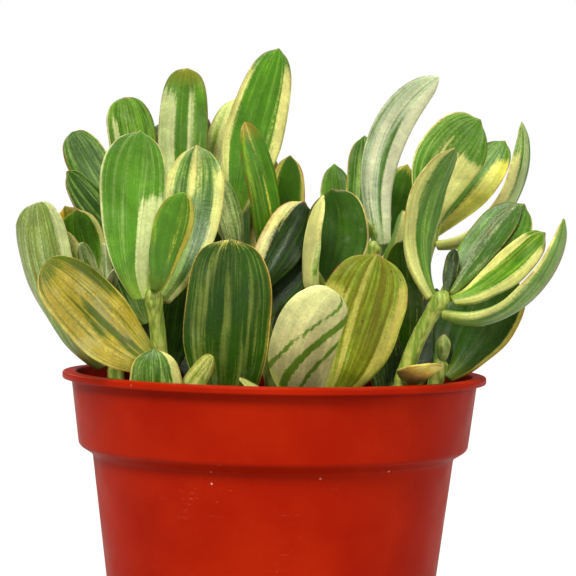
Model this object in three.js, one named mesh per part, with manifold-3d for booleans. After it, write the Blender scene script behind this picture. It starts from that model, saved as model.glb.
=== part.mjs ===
// A potted variegated jade plant: a thin plastic nursery pot, its soil, and eleven rooted
// cuttings, each a stem with its own thick leaves. Millimetres, +Z up, the pot's foot at z = 0.
// Azimuths are in degrees about +Z, from +X (0) towards +Y (90), so the front is -90.
import * as THREE from 'three';
import { mergeVertices } from 'three/addons/utils/BufferGeometryUtils.js';
import Module from 'manifold-3d';

// The pot
const potHeight = 90;
const mouthRadius = 54; // outside of the lip
const lipOverhang = 2.3; // how far the lip stands out from the collar
const lipHeight = 1.8;
const collarHeight = 18.5; // lip included
const collarTaper = 2.1; // how much the collar's radius shrinks down to its lower edge
const stepHeight = 2.2; // the slope between the collar and the lower wall
const stepDepth = 3.5;
const footRadius = 37.5;
const footRounding = 1.5;
const wallThickness = 1.2;
const floorThickness = 1.6;
const drainHoleRadius = 3.5;
const drainCircleRadius = 24;
const drainHoleCount = 6;
const potSides = 72;

// The soil
const soilBelowLip = 11;
const fitGap = 0.3; // between pieces that touch

// The plant
const drawnMouthRadius = 54; // the pot and the soil that the places in the shoots list are drawn for
const drawnSoilBelowLip = 11;
const stemRadius = 2.2; // at the soil
const stemTaper = 0.8; // radius at the tip over radius at the soil
const stemSides = 8;
const leafThickness = 4.2;
const upperShare = 0.38; // of the thickness, above the leaf's edge
const leafSides = 8;
const footShare = 0.26; // width of a leaf's foot over its greatest width
const leafStations = [0.012, 0.12, 0.26, 0.4, 0.54, 0.68, 0.81, 0.91, 0.97];
const stemStations = [0, 0.25, 0.5, 0.75, 0.94];

const plantScale = mouthRadius / drawnMouthRadius;
const soilLevel = potHeight - soilBelowLip;

const colours = {
  pot: 0xa81c00,
  soil: 0x2e2218,
  stem: 0x8fa05a,
  deep: 0x2f6b1c,
  mid: 0x5c9a35,
  pale: 0xb9cf8e,
  cream: 0xe2dca0,
  olive: 0x98973c,
};

// The places in the shoots list are [x, y, z] from the middle of the soil's surface.
// foot and top are the ends of the stem. Each leaf has the height on the stem it grows from,
// its tip, its greatest width, and the azimuth and elevation that its upper side faces.
// bow is how far its middle sinks from the upper side, sweep how far it swings to the right as
// seen from that side, and broadest how far along it is widest. around is the azimuth on the stem
// where its foot sits; without it, that is the side that the tip is on.
const shoots = [
  {
    name: 'left_front',
    foot: [-27, -27],
    top: [-29.5, -34, 33],
    leaves: [
      { from: 30, around: 176, tip: [-33, -32, 69.4], width: 16, facing: [-92, 8], bow: 1, sweep: -1.7, colour: 'mid' },
      { from: 29, around: 35, tip: [-20, -18, 67], width: 15.5, facing: [-100, 10], bow: 4, sweep: 1, colour: 'pale' },
      { from: 32.5, around: -65, tip: [-22, -40, 55], width: 10, facing: [-60, 10], colour: 'cream' },
      { from: 14.5, around: -130, tip: [-54, -42, 38], width: 19, facing: [-80, 35], bow: 1, broadest: 0.4, colour: 'olive' },
      { from: 2.5, tip: [-28.5, -36, 18], width: 13, facing: [90, 50], broadest: 0.4, colour: 'pale' },
    ],
  },
  {
    name: 'far_left',
    foot: [-40, -4],
    top: [-43, -8, 31],
    leaves: [
      { from: 12, tip: [-61, -8, 53], width: 18, facing: [42, 10], bow: 4, broadest: 0.7, colour: 'olive' },
      { from: 28, tip: [-54, -1, 52], width: 11, facing: [-100, 10], colour: 'cream' },
      { from: 30, tip: [-50, -12, 51], width: 11, facing: [-95, 10], colour: 'deep' },
      { from: 14, tip: [-59, 22, 40], width: 15, facing: [-50, 40], bow: 3, colour: 'mid' },
    ],
  },
  {
    name: 'back_left',
    foot: [-30, 16],
    top: [-36, 10, 54],
    leaves: [
      { from: 42, tip: [-53.5, -1, 61], width: 10, facing: [-110, 40], colour: 'deep' },
      { from: 49, tip: [-54, 10, 72], width: 12, facing: [-80, 30], colour: 'mid' },
      { from: 52, tip: [-41, 17, 82], width: 13, facing: [-95, 5], colour: 'deep' },
      { from: 47, tip: [-30, 24, 76], width: 12, facing: [-90, 10], colour: 'deep' },
      { from: 5, tip: [-41, 36, 36], width: 18, facing: [-70, 30], bow: 3, colour: 'mid' },
      { from: 22, tip: [-43, 15, 46], width: 13, facing: [-80, 15], colour: 'mid' },
    ],
  },
  {
    name: 'back_middle',
    foot: [-15, 17],
    top: [-20, 11, 50],
    leaves: [
      { from: 47, around: 180, tip: [-24, 9, 89], width: 13, facing: [-88, 5], bow: 1, sweep: -1.5, colour: 'pale' },
      { from: 50, around: 60, tip: [-12, 22, 82], width: 8, facing: [-100, 5], colour: 'mid' },
      { from: 22, tip: [-14, 24, 52], width: 14, facing: [-90, 20], bow: 3, colour: 'mid' },
      { from: 4, tip: [-22, 38, 22], width: 17, facing: [-90, 40], bow: 3, colour: 'mid' },
    ],
  },
  {
    name: 'centre',
    foot: [0, 2],
    top: [-15, 1, 50],
    leaves: [
      { from: 48, tip: [-0.5, 7, 94], width: 15, facing: [-80, 5], sweep: -0.5, broadest: 0.52, colour: 'mid' },
      { from: 27, tip: [-8.5, -10, 74], width: 10, facing: [130, 0], sweep: -2, colour: 'deep' },
      { from: 30, tip: [3, 1, 66], width: 11, facing: [-110, 10], colour: 'deep' },
      { from: 38, around: -110, tip: [-15, -10, 60], width: 8, facing: [-60, 10], bow: -1, colour: 'cream' },
      { from: 4, tip: [6, 32, 34], width: 18, facing: [-90, 30], bow: 3, colour: 'mid' },
    ],
  },
  {
    name: 'middle_front',
    foot: [-12, -19],
    top: [-4, -14, 30],
    leaves: [
      { from: 2, tip: [-11, -33, 44], width: 21, facing: [-90, -5], bow: 0, broadest: 0.45, colour: 'deep' },
      { from: 29, tip: [6.5, -10, 54], width: 12, facing: [-90, 5], colour: 'deep' },
    ],
  },
  {
    name: 'front',
    foot: [11, -22],
    top: [13, -21, 33],
    leaves: [
      { from: 29, tip: [11, -25, 55], width: 12, facing: [10, 0], colour: 'pale' },
      { from: 31, tip: [13.5, -16, 57], width: 16, facing: [-100, 0], sweep: 2.5, colour: 'deep' },
      { from: 7, tip: [24, -32, 41], width: 21, facing: [-90, 0], bow: 1, broadest: 0.5, colour: 'olive' },
      { from: 1.5, tip: [13.5, -50, 33], width: 16, facing: [90, 45], sweep: 6.5, broadest: 0.5, colour: 'cream' },
    ],
  },
  {
    name: 'back_right_middle',
    foot: [20, 11],
    top: [26, 5, 46],
    leaves: [
      { from: 42, around: -175, tip: [22.5, 10, 72], width: 10, facing: [-110, 5], colour: 'mid' },
      { from: 34, around: 160, tip: [15, 20, 65], width: 10, facing: [-70, 5], colour: 'deep' },
      { from: 44.5, around: -25, tip: [39.8, -5, 86.5], width: 9, facing: [-100, 10], sweep: -6.5, colour: 'pale' },
      { from: 39, tip: [34, 15, 65], width: 9, facing: [-90, 10], colour: 'mid' },
      { from: 29, tip: [31.5, -12, 52], width: 11, facing: [-170, 5], colour: 'cream' },
      { from: 5, tip: [24, 38, 36], width: 18, facing: [-90, 35], bow: 3, colour: 'mid' },
    ],
  },
  {
    name: 'back_right',
    foot: [34, 9],
    top: [41, 2, 52],
    leaves: [
      { from: 50, around: -110, tip: [51, -1, 76], width: 17, facing: [-85, 10], bow: 1, sweep: -3, colour: 'pale' },
      { from: 47, around: 75, tip: [60, 19, 72], width: 12, facing: [-100, 20], colour: 'mid' },
      { from: 45, tip: [61.5, -6, 75], width: 12, facing: [150, 30], bow: 8, colour: 'mid' },
      { from: 5, tip: [44, 33, 32], width: 14, facing: [-90, 35], bow: 3, colour: 'mid' },
    ],
  },
  {
    name: 'right_front',
    foot: [30, -24],
    top: [41, -30, 33],
    leaves: [
      { from: 30, tip: [42, -28, 67], width: 14, facing: [-40, 10], bow: 6, colour: 'pale' },
      { from: 31, tip: [60, -21, 54], width: 12, facing: [-100, 15], colour: 'deep' },
      { from: 32, tip: [63, -35, 47], width: 11, facing: [-90, 45], colour: 'mid' },
      { from: 29, tip: [67, -40, 50], width: 11, facing: [145, 50], bow: 8, colour: 'mid' },
      { from: 12, tip: [36, -41, 16], width: 11, facing: [-90, 80], bow: 0, colour: 'olive' },
    ],
  },
  {
    name: 'right_low',
    foot: [40, -2],
    top: [43, -2, 15],
    leaves: [
      { from: 11, tip: [61, -5, 35], width: 13, facing: [-90, 30], colour: 'deep' },
      { from: 12, tip: [51, 8, 31], width: 13, facing: [-90, 20], colour: 'deep' },
    ],
  },
];

const wasm = await Module();
wasm.setup();

function material(colour, roughness) {
  return new THREE.MeshStandardMaterial({ color: colour, roughness, metalness: 0 });
}

function named(name, geometry, colour, roughness) {
  const mesh = new THREE.Mesh(geometry, material(colour, roughness));
  mesh.name = name;
  return mesh;
}

// A lathe turns about +Y: this stands its shape up along +Z.
function turned(profile, sides) {
  const points = profile.map(([radius, height]) => new THREE.Vector2(radius, height));
  return new THREE.LatheGeometry(points, sides).rotateX(Math.PI / 2);
}

// The closed solid of a geometry, for cutting.
function solid(geometry) {
  const bare = geometry.clone();
  bare.deleteAttribute('normal');
  bare.deleteAttribute('uv');
  const merged = mergeVertices(bare, 1e-4);
  const vertProperties = merged.attributes.position.array;
  const triVerts = new Uint32Array(merged.index.array);
  return new wasm.Manifold(new wasm.Mesh({ numProp: 3, vertProperties, triVerts }));
}

function geometryOf(body) {
  const { vertProperties, triVerts } = body.getMesh();
  const geometry = new THREE.BufferGeometry();
  geometry.setAttribute('position', new THREE.BufferAttribute(vertProperties, 3));
  geometry.setIndex(new THREE.BufferAttribute(triVerts, 1));
  return geometry;
}

// The pot's wall from its foot to its mouth, as [radius, height]; insetWall is the same line
// moved square to itself into the pot, with its corners mitred.
const collarTop = mouthRadius - lipOverhang;
const collarFoot = collarTop - collarTaper;
const collarLevel = potHeight - collarHeight;
const outerWall = [
  [footRadius, 0],
  [collarFoot - stepDepth, collarLevel - stepHeight],
  [collarFoot, collarLevel],
  [collarTop, potHeight],
].map(([radius, height]) => new THREE.Vector2(radius, height));

function insetWall(distance) {
  const normals = outerWall.slice(1).map((point, index) => {
    const along = point.clone().sub(outerWall[index]).normalize();
    return new THREE.Vector2(-along.y, along.x);
  });
  return outerWall.map((point, index) => {
    const before = normals[Math.max(index - 1, 0)];
    const after = normals[Math.min(index, normals.length - 1)];
    const mitre = before.clone().add(after).divideScalar(1 + before.dot(after));
    return point.clone().addScaledVector(mitre, distance);
  });
}

// The stretch of a wall line between two heights, with its ends cut square.
function wallBetween(wall, low, high) {
  const radiusAt = (height) => {
    const next = Math.max(1, wall.findIndex((point) => point.y > height));
    const last = next < 1 ? wall.length - 1 : next;
    const [a, b] = [wall[last - 1], wall[last]];
    return a.x + ((height - a.y) / (b.y - a.y)) * (b.x - a.x);
  };
  const corners = wall.filter((point) => point.y > low && point.y < high);
  return [[radiusAt(low), low], ...corners.map((point) => [point.x, point.y]), [radiusAt(high), high]];
}

function makePot() {
  const edgeRounding = lipHeight / 3;
  const lipFoot = potHeight - lipHeight;
  let body = solid(turned([
    [0, 0],
    [footRadius - footRounding, 0],
    [footRadius - footRounding * 0.3, footRounding * 0.3],
    ...wallBetween(outerWall, footRounding, lipFoot),
    [mouthRadius - edgeRounding, lipFoot],
    [mouthRadius, lipFoot + edgeRounding],
    [mouthRadius, potHeight - edgeRounding],
    [mouthRadius - edgeRounding, potHeight],
    ...wallBetween(insetWall(wallThickness), floorThickness, potHeight).reverse(),
    [0, floorThickness],
  ], potSides));
  for (let hole = 0; hole < drainHoleCount; hole += 1) {
    const angle = (2 * Math.PI * hole) / drainHoleCount;
    const bore = new THREE.CylinderGeometry(drainHoleRadius, drainHoleRadius, 4 * floorThickness, 20)
      .rotateX(Math.PI / 2)
      .translate(drainCircleRadius * Math.cos(angle), drainCircleRadius * Math.sin(angle), 0);
    body = body.subtract(solid(bore));
  }
  return named('pot', geometryOf(body), colours.pot, 0.35);
}

// The soil fills the pot up to its own level inside the collar.
function makeSoil() {
  const floor = floorThickness + fitGap;
  return named('soil', turned([
    [0, floor],
    ...wallBetween(insetWall(wallThickness + fitGap), floor, soilLevel),
    [0, soilLevel],
  ], potSides), colours.soil, 0.95);
}

// A spindle turned along +Z is carried onto a curve. Its z runs from 0 to 1 along the curve,
// and its x and y are moved along the left and upper directions there.
function carried(spindle, curve, left) {
  const position = spindle.attributes.position;
  const along = new THREE.Vector3();
  const across = new THREE.Vector3();
  const upper = new THREE.Vector3();
  const point = new THREE.Vector3();
  for (let i = 0; i < position.count; i += 1) {
    const share = THREE.MathUtils.clamp(position.getZ(i), 0, 1);
    curve.getPoint(share, point);
    curve.getTangent(share, along);
    across.copy(left).addScaledVector(along, -left.dot(along)).normalize();
    upper.crossVectors(along, across);
    point.addScaledVector(across, position.getX(i)).addScaledVector(upper, position.getY(i));
    position.setXYZ(i, point.x, point.y, point.z);
  }
  return spindle;
}

// A place in the shoots list, where the plant grows in this pot: it keeps to the mouth, so that
// the leaves which hang over the lip clear it whatever the pot's size or the soil's depth.
function placed(x, y, z) {
  const aboveLip = (z - drawnSoilBelowLip) * plantScale;
  return new THREE.Vector3(x * plantScale, y * plantScale, potHeight + aboveLip);
}

function stemWidth(share) {
  return stemRadius * plantScale * (1 - (1 - stemTaper) * share);
}

// A stem leaves the soil upright and leans towards its top; height grows evenly along it.
function stemCurve({ foot, top }) {
  const start = placed(foot[0], foot[1], 0).setZ(soilLevel + fitGap);
  const end = placed(...top);
  const middle = start.clone().setZ((start.z + end.z) / 2);
  return new THREE.QuadraticBezierCurve3(start, middle, end);
}

function makeStem(shoot) {
  const rings = stemStations.map((share) => [stemWidth(share), share]);
  const tip = [stemWidth(1) * 0.6, 0.99];
  const spindle = turned([[0, 0], ...rings, tip, [0, 1]], stemSides);
  const left = new THREE.Vector3(1, 0, 0);
  return named(`stem_${shoot.name}`, carried(spindle, stemCurve(shoot), left), colours.stem, 0.6);
}

function direction(azimuth, elevation) {
  const [turn, rise] = [azimuth, elevation].map(THREE.MathUtils.degToRad);
  return new THREE.Vector3(Math.cos(rise) * Math.cos(turn), Math.cos(rise) * Math.sin(turn), Math.sin(rise));
}

// Half of a leaf's width at a share of its length, over its greatest: it swells from the foot as
// a sine to where it is broadest, then rounds off to the tip as a superellipse.
function outline(share, broadest) {
  if (share < broadest) {
    const swell = Math.sin((Math.PI / 2) * (share / broadest)) ** 1.15;
    return footShare + (1 - footShare) * swell;
  }
  const rest = (share - broadest) / (1 - broadest);
  return (1 - rest ** 2.3) ** 0.6;
}

// Thickness over the greatest: less at the foot, most in the lower half, thin at the rounded tip.
function fullness(share) {
  const foot = 0.62 + 0.38 * Math.min(1, share / 0.2);
  return foot * (1 - 0.45 * share) * (1 - share ** 8) ** 0.5;
}

function makeLeaf(shoot, number, leaf) {
  const { from, around, tip, width, facing, bow = 2, sweep = 0, broadest = 0.6, colour } = leaf;
  const stem = stemCurve(shoot);
  const share = Math.min(1, from / shoot.top[2]);
  const axis = stem.getPoint(share);
  const stemAlong = stem.getTangent(share);
  const end = placed(...tip);
  const halfWidth = (width / 2) * plantScale;
  const thickness = leafThickness * plantScale;

  const chord = end.clone().sub(axis).normalize();
  const upper = direction(...facing);
  const outward = around === undefined ? chord.clone() : direction(around, 0);
  outward.addScaledVector(stemAlong, -outward.dot(stemAlong)).normalize();
  upper.addScaledVector(chord, -upper.dot(chord)).normalize();
  const left = new THREE.Vector3().crossVectors(upper, chord);

  // The foot stands clear of the stem, around it at that azimuth or on the side that it leans to.
  const footWidth = footShare * halfWidth * Math.abs(left.dot(outward));
  const footDepth = 0.5 * fullness(0) * thickness * Math.abs(upper.dot(outward));
  const start = axis.clone().addScaledVector(outward, stemWidth(share) + fitGap + footWidth + footDepth);
  const control = start.clone().add(end).multiplyScalar(0.5)
    .addScaledVector(upper, -2 * bow * plantScale)
    .addScaledVector(left, -2 * sweep * plantScale);
  const curve = new THREE.QuadraticBezierCurve3(start, control, end);

  const rings = leafStations.map((place) => [outline(place, broadest), place]);
  const spindle = turned([[0, 0], ...rings, [0, 1]], leafSides);
  const position = spindle.attributes.position;
  for (let i = 0; i < position.count; i += 1) {
    const place = position.getZ(i);
    const height = position.getY(i) / Math.max(outline(place, broadest), 1e-6);
    const depth = (height > 0 ? upperShare : 1 - upperShare) * thickness * fullness(place);
    position.setXYZ(i, position.getX(i) * halfWidth, height * depth, place);
  }
  const name = `leaf_${shoot.name}_${number}`;
  return named(name, carried(spindle, curve, left), colours[colour], 0.4);
}

const group = new THREE.Group();
group.name = 'potted_jade_plant';
group.add(makePot(), makeSoil());
for (const shoot of shoots) {
  group.add(makeStem(shoot));
  shoot.leaves.forEach((leaf, index) => group.add(makeLeaf(shoot, index + 1, leaf)));
}

export default group;
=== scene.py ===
import math

import bpy
import numpy as np
from mathutils import Matrix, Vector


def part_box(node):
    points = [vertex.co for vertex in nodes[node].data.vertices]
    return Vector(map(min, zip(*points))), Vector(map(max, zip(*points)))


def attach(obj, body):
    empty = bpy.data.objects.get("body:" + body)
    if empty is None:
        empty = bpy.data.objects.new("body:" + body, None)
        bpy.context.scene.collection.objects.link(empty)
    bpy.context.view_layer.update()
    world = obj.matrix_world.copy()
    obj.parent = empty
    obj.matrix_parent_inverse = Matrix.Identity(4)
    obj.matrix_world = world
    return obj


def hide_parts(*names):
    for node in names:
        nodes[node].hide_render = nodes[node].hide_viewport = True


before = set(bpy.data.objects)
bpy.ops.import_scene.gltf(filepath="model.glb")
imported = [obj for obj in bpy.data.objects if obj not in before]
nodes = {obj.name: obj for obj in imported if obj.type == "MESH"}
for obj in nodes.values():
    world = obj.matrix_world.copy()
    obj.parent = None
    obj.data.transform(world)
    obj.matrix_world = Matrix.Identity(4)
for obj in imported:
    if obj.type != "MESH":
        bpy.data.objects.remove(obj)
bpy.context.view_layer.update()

mm = 0.001
print("frame loaded:", len(nodes), "nodes")


cameraSetup = {
    "place": (0.0, -0.459, 0.120),  # metres
    "lens": 112.0,
    "turnRight": 0.382,  # degrees
    "lookDown": 1.0455,
    "roll": 1.0,  # the view's right side sinks
    "sensor": 36.0,  # millimetres
    "nearest": 0.01,
}


def linked(name, data):
    # a new object around its data, put into the scene
    made = bpy.data.objects.new(name, data)
    bpy.context.scene.collection.objects.link(made)
    return made


# The view turns about +Z, tips down about its own x, then rolls about its own line of sight.
def makeCamera(setup):
    data = bpy.data.cameras.new("camera")
    data.lens = setup["lens"]
    data.sensor_width = setup["sensor"]
    data.clip_start = setup["nearest"]
    camera = linked("camera", data)
    turn = Matrix.Rotation(math.radians(-setup["turnRight"]), 4, "Z")
    tip = Matrix.Rotation(math.radians(90.0 - setup["lookDown"]), 4, "X")
    roll = Matrix.Rotation(math.radians(setup["roll"]), 4, "Z")
    camera.matrix_world = Matrix.Translation(setup["place"]) @ turn @ tip @ roll
    bpy.context.scene.camera = camera


makeCamera(cameraSetup)
bpy.context.scene.view_settings.view_transform = "Standard"
print("camera placed")


def linear(colour):
    # sRGB 0-255 to linear light, with alpha 1
    c = np.asarray(colour, float) / 255.0
    low = c / 12.92
    high = ((c + 0.055) / 1.055) ** 2.4
    return tuple(np.where(c <= 0.04045, low, high)) + (1.0,)


def ease(x, low, high):
    # smoothstep: 0 below low, 1 above high, 3t^2 - 2t^3 between
    t = np.clip((x - low) / (high - low), 0.0, 1.0)
    return t * t * (3.0 - 2.0 * t)


def unit(v):
    # each row over its own length
    return v / np.linalg.norm(v, axis=-1, keepdims=True)


def tubeFaces(rings, sides):
    # quads between neighbouring rings of a tube, wrapping round its sides
    i, j = np.meshgrid(np.arange(rings - 1), np.arange(sides), indexing="ij")
    k = (j + 1) % sides
    quads = np.stack([i * sides + j, i * sides + k, (i + 1) * sides + k, (i + 1) * sides + j], -1)
    return quads.reshape(-1, 4)


def capFaces(ring, pole, sides, ahead):
    # a fan of triangles from the ring that starts at one vertex number to the pole at another
    j = np.arange(sides)
    k = (j + 1) % sides
    a, b = (j, k) if ahead else (k, j)
    return np.stack([ring + a, ring + b, np.full(sides, pole)], -1)


def closedTube(rings, sides):
    # a tube's quads and a fan at each end, to two poles that are numbered after the last ring
    total = rings * sides
    ends = [capFaces(0, total, sides, False), capFaces(total - sides, total + 1, sides, True)]
    return [tubeFaces(rings, sides)] + ends


def signedVolume(points, faces):
    # sum over triangles of a . (b x c) / 6
    total = 0.0
    for f in faces:
        fan = [f[:, [0, 1, 2]]] if f.shape[1] == 3 else [f[:, [0, 1, 2]], f[:, [0, 2, 3]]]
        for t in fan:
            a, b, c = points[t[:, 0]], points[t[:, 1]], points[t[:, 2]]
            total += np.einsum("ij,ij->", a, np.cross(b, c)) / 6.0
    return total


def putMesh(name, points, faces, fields=None, flat=False):
    # points and faces as arrays into a mesh, turned to face outwards; fields are point attributes
    if signedVolume(points, faces) < 0:
        faces = [f[:, ::-1] for f in faces]
    mesh = bpy.data.meshes.new(name)
    corners = np.concatenate([f.ravel() for f in faces]).astype(np.int32)
    counts = np.concatenate([np.full(len(f), f.shape[1]) for f in faces])
    starts = np.concatenate([[0], np.cumsum(counts)[:-1]]).astype(np.int32)
    mesh.vertices.add(len(points))
    mesh.vertices.foreach_set("co", points.astype(np.float32).ravel())
    mesh.loops.add(len(corners))
    mesh.loops.foreach_set("vertex_index", corners)
    mesh.polygons.add(len(counts))
    mesh.polygons.foreach_set("loop_start", starts)
    mesh.update(calc_edges=True)
    for key, values in (fields or {}).items():
        kind, slotName = ("FLOAT_COLOR", "color") if values.shape[1] == 4 else ("FLOAT_VECTOR", "vector")
        layer = mesh.attributes.new(key, kind, "POINT")
        layer.data.foreach_set(slotName, values.astype(np.float32).ravel())
    if not flat:
        mesh.shade_smooth()
    return mesh


def addPiece(name, mesh, material, slotName, *replaced):
    # one piece at the origin, riding on the only body
    piece = linked(name, mesh)
    mesh.materials.append(material)
    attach(piece, "root")
    if replaced:
        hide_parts(*replaced)
    return piece


# A node material: each call below adds a node or two and gives back the last output.
class Finish:
    def __init__(self, name):
        self.material = bpy.data.materials.new(name)
        self.material.use_nodes = True
        self.tree = self.material.node_tree
        self.shader = self.tree.nodes["Principled BSDF"]

    def put(self, socket, value):
        if isinstance(value, bpy.types.NodeSocket):
            self.tree.links.new(value, socket)
        else:
            socket.default_value = value

    def node(self, kind, output, inputs, **settings):
        made = self.tree.nodes.new(kind)
        for key, value in settings.items():
            setattr(made, key, value)
        for key, value in inputs.items():
            self.put(made.inputs[key], value)
        return made.outputs[output]

    def place(self):
        return self.node("ShaderNodeTexCoord", "Object", {})

    def field(self, name, output="Vector"):
        return self.node("ShaderNodeAttribute", output, {}, attribute_name=name)

    def part(self, vector, axis):
        return self.node("ShaderNodeSeparateXYZ", axis, {0: vector})

    def stretch(self, vector, scale, location=(0.0, 0.0, 0.0)):
        return self.node("ShaderNodeMapping", 0, {"Vector": vector, "Scale": scale, "Location": location})

    def noise(self, vector, scale, detail=3.0, roughness=0.55, distortion=0.0):
        inputs = {"Vector": vector, "Scale": scale, "Detail": detail, "Roughness": roughness}
        return self.node("ShaderNodeTexNoise", "Fac", {**inputs, "Distortion": distortion})

    def cells(self, vector, scale):
        return self.node("ShaderNodeTexVoronoi", "Distance", {"Vector": vector, "Scale": scale})

    def sum(self, a, b, how="ADD"):
        return self.node("ShaderNodeMath", 0, {0: a, 1: b}, operation=how)

    def times(self, a, b):
        return self.sum(a, b, "MULTIPLY")

    def centred(self, value, gain):  # (value - 0.5) * gain
        return self.times(self.sum(value, 0.5, "SUBTRACT"), gain)

    def between(self, value, cut, span=(0.0, 1.0), kind="SMOOTHSTEP"):
        # 0 at the cut's low end and 1 at its high end, spread over the span
        ends = {"From Min": cut[0], "From Max": cut[1], "To Min": span[0], "To Max": span[1]}
        return self.node("ShaderNodeMapRange", "Result", {"Value": value, **ends}, interpolation_type=kind)

    def spread(self, value, span):  # the middle of a noise, drawn out straight over the span
        return self.between(value, (0.3, 0.7), span, "LINEAR")

    def blend(self, share, a, b, how="MIX"):
        inputs = {"Factor": share, "A": a, "B": b}
        return self.node("ShaderNodeMix", "Result", inputs, data_type="RGBA", blend_type=how)

    def tint(self, share, colour, over):
        return self.blend(share, colour, linear(over))

    def bump(self, height, depth, before=None):
        inputs = {"Height": height, "Distance": depth}
        if before is not None:
            inputs["Normal"] = before
        return self.node("ShaderNodeBump", "Normal", inputs)

    def set(self, **sockets):
        for key, value in sockets.items():
            self.put(self.shader.inputs[key.replace("_", " ")], value)


mergeSteps = 1e5  # steps in a metre: corners on the same step are one corner


def mergedNode(name):
    # a node's loose triangles with their shared corners joined: points and triangles
    mesh = nodes[name].data
    co = np.empty(len(mesh.vertices) * 3)
    mesh.vertices.foreach_get("co", co)
    corners = np.empty(len(mesh.loops), np.int64)
    mesh.loops.foreach_get("vertex_index", corners)
    co = co.reshape(-1, 3)
    steps = np.round(co * mergeSteps).astype(np.int64)
    _, first, inverse = np.unique(steps, axis=0, return_index=True, return_inverse=True)
    triangles = inverse.ravel()[corners].reshape(-1, 3)
    return co[first], triangles


def readRings(name):
    # a turned spindle has two poles, its corners with the most neighbours; the rings are the
    # corners one step, two steps and so on from the first pole
    points, triangles = mergedNode(name)
    count = len(points)
    near = np.zeros((count, count), bool)
    for a, b in ((0, 1), (1, 2), (2, 0)):
        near[triangles[:, a], triangles[:, b]] = True
        near[triangles[:, b], triangles[:, a]] = True
    np.fill_diagonal(near, False)
    first, last = np.argsort(near.sum(0))[-2:]
    seen = np.zeros(count, bool)
    seen[first] = True
    front = seen.copy()
    rings = []
    while not seen[last]:
        front = near[front].any(0) & ~seen
        seen |= front
        if not seen[last]:
            rings.append(points[front])
    return points[first], rings, points[last]


def arcShares(points):
    # distance along a line of points over its whole length
    steps = np.linalg.norm(np.diff(points, axis=0), axis=1)
    return np.concatenate([[0.0], np.cumsum(steps)]) / steps.sum()


def fitted(shares, values, degree):
    # the polynomial of this degree that lies nearest each column
    return np.stack([np.polyfit(shares, values[:, k], degree) for k in range(3)], -1)


def along(coefficients, s):
    # each column is a polynomial in s
    return np.stack([np.polyval(coefficients[:, k], s) for k in range(3)], -1)


stemNames = sorted(n for n in nodes if n.startswith("stem_"))
leafNames = sorted(n for n in nodes if n.startswith("leaf_"))
stems = {}
for stemName in stemNames:
    low, rings, high = readRings(stemName)
    if low[2] > high[2]:
        low, high, rings = high, low, rings[::-1]
    centres = np.array([low] + [ring.mean(0) for ring in rings] + [high])
    radii = np.array([np.linalg.norm(ring - ring.mean(0), axis=1).mean() for ring in rings[:-1]])
    shares = arcShares(centres)
    stems[stemName] = {
        "axis": fitted(shares, centres, 2),
        "radius": np.polyfit(shares[1:-2], radii, 1),
        "length": np.linalg.norm(np.diff(centres, axis=0), axis=1).sum(),
        "joints": [],
    }
print("stems read:", len(stems))
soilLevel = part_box("soil")[1].z
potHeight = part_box("pot")[1].z
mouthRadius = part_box("pot")[1].x


leafShape = {
    "rings": 58,
    "sides": 44,
    "footShare": 0.26,  # width of the foot over the greatest width
    "upperShare": 0.38,  # of the thickness, above the margin
    "edgeSharpness": 1.35,  # 1 is an ellipse, more draws the margin out thin
    "cup": 0.10,  # how far the margins rise over the middle, as a share of the half width
    "groove": 0.22 * mm,  # along the middle of the upper side
    "wave": 0.22 * mm,  # of the margins
    "mucro": 0.75 * mm,  # the small point at the tip
    "intoStem": 1.6 * mm,  # how far the foot runs towards the middle of its stem
    "highest": 0.72,  # share of the length past which the broadest place never lies
    "twist": 3.0,  # degrees either way, from foot to tip
    "lumps": 0.025,  # unevenness of the width, as a share
    "lumpTurns": 1.7, "waveTurns": 2.3, "rippleTurns": 1.5,  # how many fit on the leaf
    "ripple": 0.10 * mm,
    "grooveHalf": 0.22,  # share of the half width
    "mucroHalf": 0.7 * mm, "mucroStart": 0.90,
    "footReach": 0.22,  # share of the length that bends to the stem
    "endCrowding": 0.65,  # how much closer the rings stand at foot and tip
    "rimWidth": 0.30 * mm,  # of the brown margin
    "rimStart": (0.30, 0.62),
    "laneWidth": 8 * mm,  # the half width over which the streaks are drawn once
    "laneStep": 0.731,  # from one leaf's streaks to the next one's
    "paleRange": (-0.6, 1.2), "lightRange": (-0.8, 1.2),
}


def outline(s, broadest, foot, blunt=1.0):
    # half width over its greatest: a sine swell to the broadest place, then a superellipse, which
    # blunt makes squarer (over 1) or more pointed (under 1)
    swell = np.sin(np.pi / 2 * np.clip(s / broadest, 0, 1)) ** 1.15
    rest = np.clip((s - broadest) / (1 - broadest), 0, 1)
    return np.where(s < broadest, foot + (1 - foot) * swell, (1 - rest ** (2.3 * blunt)) ** (0.52 / blunt))


def fullness(s):
    # thickness over its greatest: less at the foot, thin at the rounded tip
    foot = 0.62 + 0.38 * np.minimum(1, s / 0.2)
    return foot * (1 - 0.45 * s) * np.sqrt(np.maximum(1 - s ** 8, 0))


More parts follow.
